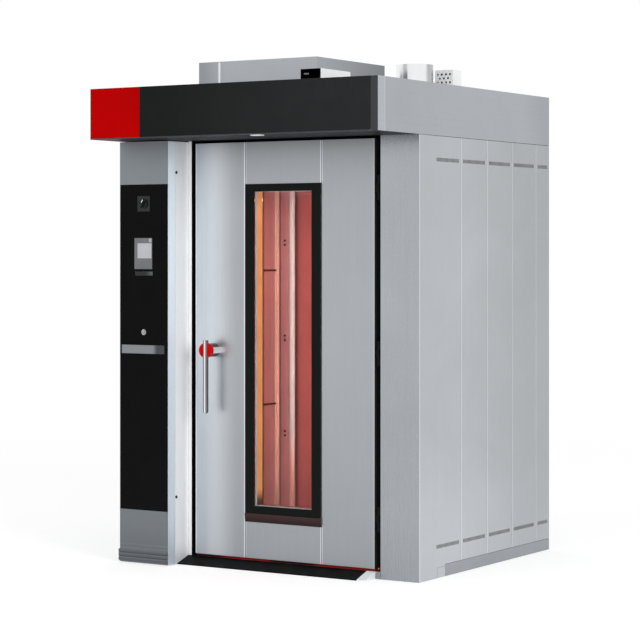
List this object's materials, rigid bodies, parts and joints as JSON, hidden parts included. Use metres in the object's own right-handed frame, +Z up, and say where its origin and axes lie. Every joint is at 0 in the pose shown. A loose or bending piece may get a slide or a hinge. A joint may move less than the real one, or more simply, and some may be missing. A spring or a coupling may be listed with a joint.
{
  "type": "rotating rack oven",
  "caption": "Walk-in rack oven in stainless steel: tall hinged window door, control column, steam canopy, air blades, and a geared hook that turns a rack of trays.",
  "frame": {"origin": "on the floor, under the middle of the oven's whole box", "axes": "+X to the right as one faces the door, +Y from the door to the back, +Z up"},
  "size_m": [1.68, 1.789, 2.58],
  "materials": {
    "side_steel": "satin",
    "door_steel": "polished",
    "hood_steel": "satin",
    "column_steel": "satin",
    "cover_steel": "satin",
    "frame_steel": "satin",
    "dark_frame": "matt",
    "hood_shade": "satin",
    "ramp_black": "satin",
    "black_glass": "gloss",
    "hood_black_glass": "gloss",
    "red_enamel": "satin",
    "window_glass": "gloss",
    "window_black": "satin",
    "sill_dark": "satin",
    "seal_rubber": "matt",
    "handle_steel": "polished",
    "handle_red": "gloss",
    "chamber_steel": "satin",
    "liner_steel": "satin",
    "wool": "matt",
    "core_black": "matt",
    "lamp_lens": "frosted",
    "chamber_lamp": "frosted",
    "drive_paint": "satin",
    "machine_paint": "satin",
    "cast_grey": "matt",
    "gear_steel": "machined",
    "black_plastic": "matt",
    "display_bezel": "satin",
    "display_screen": "gloss",
    "board_white": "matt",
    "white_paint": "satin",
    "foot_plastic": "matt"
  },
  "bodies": {
    "casing": {"base_frame": "frame_steel", "levelling_feet": "foot_plastic", "chamber_floor": "liner_steel", "entry_ramp": "ramp_black", "air_blades": "chamber_steel", "chamber_walls": "chamber_steel", "chamber_ceiling": "chamber_steel", "duct_liner": "liner_steel", "insulation": "wool", "right_side_panels": "side_steel", "left_side_panels": "side_steel", "rear_panels": "side_steel", "front_post": "door_steel", "mouth_frame": "dark_frame", "lock_jamb": "door_steel", "roof_deck": "side_steel", "hood_casing": "hood_steel", "hood_underside": "hood_shade", "hood_glass": "hood_black_glass", "hood_red_plate": "red_enamel", "hood_lamp": "lamp_lens", "column_shell": "column_steel", "cover_screws": "black_plastic", "control_board": "board_white", "drive_cover": "drive_paint", "gearmotor": "machine_paint", "shaft_bearing": "cast_grey", "fan_motor": "machine_paint", "heater_cartridge": "liner_steel", "steam_generator": "cast_grey", "chamber_lamps": "chamber_lamp", "flue_collar": "hood_steel", "vent_box": "white_paint", "inverter_box": "white_paint", "door_hinges": "dark_frame"},
    "column_cover": {"column_cover": "cover_steel", "control_glass": "black_glass", "display_unit": "display_bezel", "display_screen": "display_screen", "trim_bar": "cover_steel", "switch_plate": "black_plastic"},
    "main_switch": {"switch_knob": "black_plastic"},
    "start_button": {"start_button": "display_bezel"},
    "door": {"door_skins": "door_steel", "door_core": "core_black", "door_liner": "liner_steel", "window_frame": "window_black", "window_panes": "window_glass", "window_sill": "sill_dark", "door_seal": "seal_rubber", "door_hinge_leaves": "dark_frame", "handle_standoff": "handle_steel"},
    "handle": {"handle_bar": "handle_steel", "handle_disc": "handle_red", "handle_spindle": "gear_steel"},
    "rack_drive": {"rack_hook": "gear_steel", "rack_gear": "gear_steel"},
    "pinion": {"drive_pinion": "gear_steel"},
    "fan": {"fan_wheel": "liner_steel"},
    "damper": {"flue_damper": "gear_steel"}
  },
  "joints": [
    {"name": "door_hinge", "type": "hinge", "parent": "casing", "child": "door", "pos_m": [0.609, -0.4995, 1.09], "axis": [0, 0, 1], "range_deg": [0, 115]},
    {"name": "handle_turn", "type": "hinge", "parent": "door", "child": "handle", "pos_m": [-0.352, -0.5805, 1.085], "axis": [0, -1, 0], "range_deg": [0, 90]},
    {"name": "column_cover_hinge", "type": "hinge", "parent": "casing", "child": "column_cover", "pos_m": [-0.82, -0.6225, 1.07], "axis": [0, 0, -1], "range_deg": [0, 100]},
    {"name": "main_switch_turn", "type": "hinge", "parent": "column_cover", "child": "main_switch", "pos_m": [-0.6625, -0.6875, 1.825], "axis": [0, -1, 0], "range_deg": [0, 90]},
    {"name": "start_button_press", "type": "slide", "parent": "column_cover", "child": "start_button", "axis": [0, 1, 0], "range_m": [0, 0.003], "stiffness_N_per_m": 500, "springref_m": -0.002},
    {"name": "rack_turn", "type": "hinge", "parent": "casing", "child": "rack_drive", "pos_m": [0.063, 0.09, 2.3], "axis": [0, 0, 1], "continuous": true},
    {"name": "pinion_turn", "type": "hinge", "parent": "casing", "child": "pinion", "pos_m": [-0.033, 0.09, 2.39], "axis": [0, 0, 1], "continuous": true},
    {"name": "fan_turn", "type": "hinge", "parent": "casing", "child": "fan", "pos_m": [-0.35, 0.09, 2.1], "axis": [0, 0, 1], "continuous": true},
    {"name": "damper_turn", "type": "hinge", "parent": "casing", "child": "damper", "pos_m": [0.19, 0.5925, 2.35], "axis": [0, 1, 0], "range_deg": [0, 90]}
  ],
  "couplings": [
    {"joint": "pinion_turn", "follows": "rack_turn", "ratio": -2}
  ]
}
